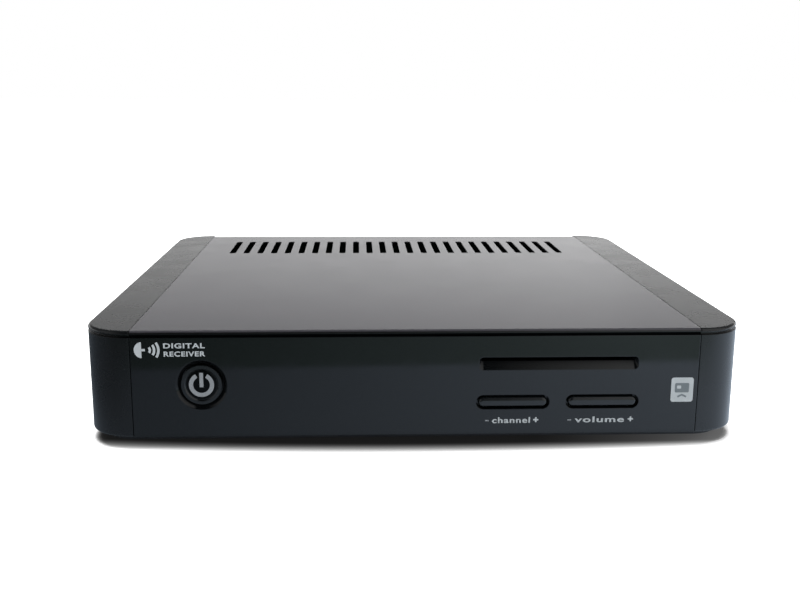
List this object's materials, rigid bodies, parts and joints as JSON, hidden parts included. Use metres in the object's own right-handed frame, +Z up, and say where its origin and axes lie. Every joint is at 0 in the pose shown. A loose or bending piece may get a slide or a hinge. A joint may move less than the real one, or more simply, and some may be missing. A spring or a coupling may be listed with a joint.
{
  "type": "satellite television receiver",
  "caption": "Low set-top satellite receiver: vented steel lid, moulded sides, gloss front with power and rocker buttons and a card slot, sockets at the back.",
  "frame": {"origin": "on the surface under the feet, below the middle of the whole, its sockets included", "axes": "+X to the right along the front, +Y from the front to the back, +Z up"},
  "size_m": [0.24, 0.2324, 0.0435],
  "materials": {
    "cover_paint": "fine satin metallic paint",
    "cheek_plastic": "dark grey moulded plastic, fine texture",
    "fascia_gloss": "polished black, dark to light but clear to infrared",
    "base_steel": "black powder coat on steel",
    "foot_rubber": "matt rubber",
    "screw_steel": "blackened steel",
    "button_gloss": "polished black",
    "switch_case": "black switch housing",
    "plunger_plastic": "cream plunger",
    "circuit_board": "glass-fibre board with green solder resist",
    "chip_epoxy": "black epoxy",
    "sink_aluminium": "extruded aluminium",
    "capacitor_sleeve": "dark shrink sleeve",
    "tuner_tin": "tinned steel",
    "nickel": "nickel plate",
    "insert_cream": "cream insulator",
    "phono_black": "black moulded block",
    "phono_yellow": "yellow insulator",
    "phono_white": "white insulator",
    "phono_red": "red insulator",
    "socket_steel": "plated steel shell",
    "socket_black": "black moulding",
    "flap_grey": "grey moulded flap",
    "contact_gold": "gold flash",
    "standoff_brass": "turned brass",
    "ribbon_white": "white ribbon",
    "ribbon_cream": "cream moulding",
    "eye_epoxy": "dark infrared filter epoxy",
    "lamp_epoxy": "red diffusing epoxy"
  },
  "bodies": {
    "case": {"top_cover": "cover_paint", "left_cheek": "cheek_plastic", "right_cheek": "cheek_plastic", "front_fascia": "fascia_gloss", "base_chassis": "base_steel", "foot_front_left": "foot_rubber", "foot_front_right": "foot_rubber", "foot_rear_left": "foot_rubber", "foot_rear_right": "foot_rubber", "cover_screws": "screw_steel", "base_screws": "screw_steel", "board_screws": "screw_steel", "power_switch": "switch_case", "channel_down_switch": "switch_case", "channel_up_switch": "switch_case", "volume_down_switch": "switch_case", "volume_up_switch": "switch_case", "main_board": "circuit_board", "front_board": "circuit_board", "card_board": "circuit_board", "decoder_chip": "chip_epoxy", "memory_chips": "chip_epoxy", "heat_sink": "sink_aluminium", "capacitors": "capacitor_sleeve", "tuner_can": "tuner_tin", "aerial_socket_in": "nickel", "aerial_socket_out": "nickel", "aerial_nuts": "nickel", "phono_shells": "nickel", "inlet_pin": "nickel", "aerial_inserts": "insert_cream", "phono_block": "phono_black", "video_insert": "phono_yellow", "left_audio_insert": "phono_white", "right_audio_insert": "phono_red", "data_socket": "socket_steel", "digital_video_socket": "socket_steel", "socket_tongues": "socket_black", "network_socket": "socket_black", "optical_socket": "socket_black", "sensor_jack": "socket_black", "power_inlet": "socket_black", "card_reader": "socket_black", "network_contacts": "contact_gold", "card_contacts": "contact_gold", "card_standoffs": "standoff_brass", "ribbon_cable": "ribbon_white", "ribbon_sockets": "ribbon_cream", "remote_eye": "eye_epoxy", "standby_lamp": "lamp_epoxy"},
    "power_button": {"power_button": "button_gloss"},
    "channel_rocker": {"channel_button": "button_gloss"},
    "volume_rocker": {"volume_button": "button_gloss"},
    "power_stem": {"power_plunger": "plunger_plastic"},
    "channel_down_stem": {"channel_down_plunger": "plunger_plastic"},
    "channel_up_stem": {"channel_up_plunger": "plunger_plastic"},
    "volume_down_stem": {"volume_down_plunger": "plunger_plastic"},
    "volume_up_stem": {"volume_up_plunger": "plunger_plastic"},
    "optical_flap": {"optical_flap": "flap_grey"}
  },
  "joints": [
    {"name": "power_press", "type": "slide", "parent": "case", "child": "power_button", "axis": [0, 1, 0], "range_m": [0, 0.0003], "stiffness_N_per_m": 400},
    {"name": "channel_rock", "type": "hinge", "parent": "case", "child": "channel_rocker", "pos_m": [0.0345, -0.1098, 0.0164], "axis": [0, 0, 1], "range_deg": [-1.1, 1.1], "stiffness_Nm_per_rad": 0.065},
    {"name": "volume_rock", "type": "hinge", "parent": "case", "child": "volume_rocker", "pos_m": [0.0672, -0.1098, 0.0164], "axis": [0, 0, 1], "range_deg": [-1.1, 1.1], "stiffness_Nm_per_rad": 0.065},
    {"name": "power_stem_travel", "type": "slide", "parent": "case", "child": "power_stem", "axis": [0, 1, 0], "range_m": [0, 0.0003]},
    {"name": "channel_down_travel", "type": "slide", "parent": "case", "child": "channel_down_stem", "axis": [0, 1, 0], "range_m": [-0.00018, 0.00018]},
    {"name": "channel_up_travel", "type": "slide", "parent": "case", "child": "channel_up_stem", "axis": [0, 1, 0], "range_m": [-0.00018, 0.00018]},
    {"name": "volume_down_travel", "type": "slide", "parent": "case", "child": "volume_down_stem", "axis": [0, 1, 0], "range_m": [-0.00018, 0.00018]},
    {"name": "volume_up_travel", "type": "slide", "parent": "case", "child": "volume_up_stem", "axis": [0, 1, 0], "range_m": [-0.00018, 0.00018]},
    {"name": "optical_flap_swing", "type": "hinge", "parent": "case", "child": "optical_flap", "pos_m": [-0.0731, 0.1046, 0.01735], "axis": [-1, 0, 0], "range_deg": [0, 80], "stiffness_Nm_per_rad": 0.0002, "springref_deg": -17.19}
  ],
  "couplings": [
    {"joint": "power_stem_travel", "follows": "power_press", "ratio": 1},
    {"joint": "channel_down_travel", "follows": "channel_rock", "m_per_rad": -0.009},
    {"joint": "channel_up_travel", "follows": "channel_rock", "m_per_rad": 0.009},
    {"joint": "volume_down_travel", "follows": "volume_rock", "m_per_rad": -0.009},
    {"joint": "volume_up_travel", "follows": "volume_rock", "m_per_rad": 0.009}
  ]
}
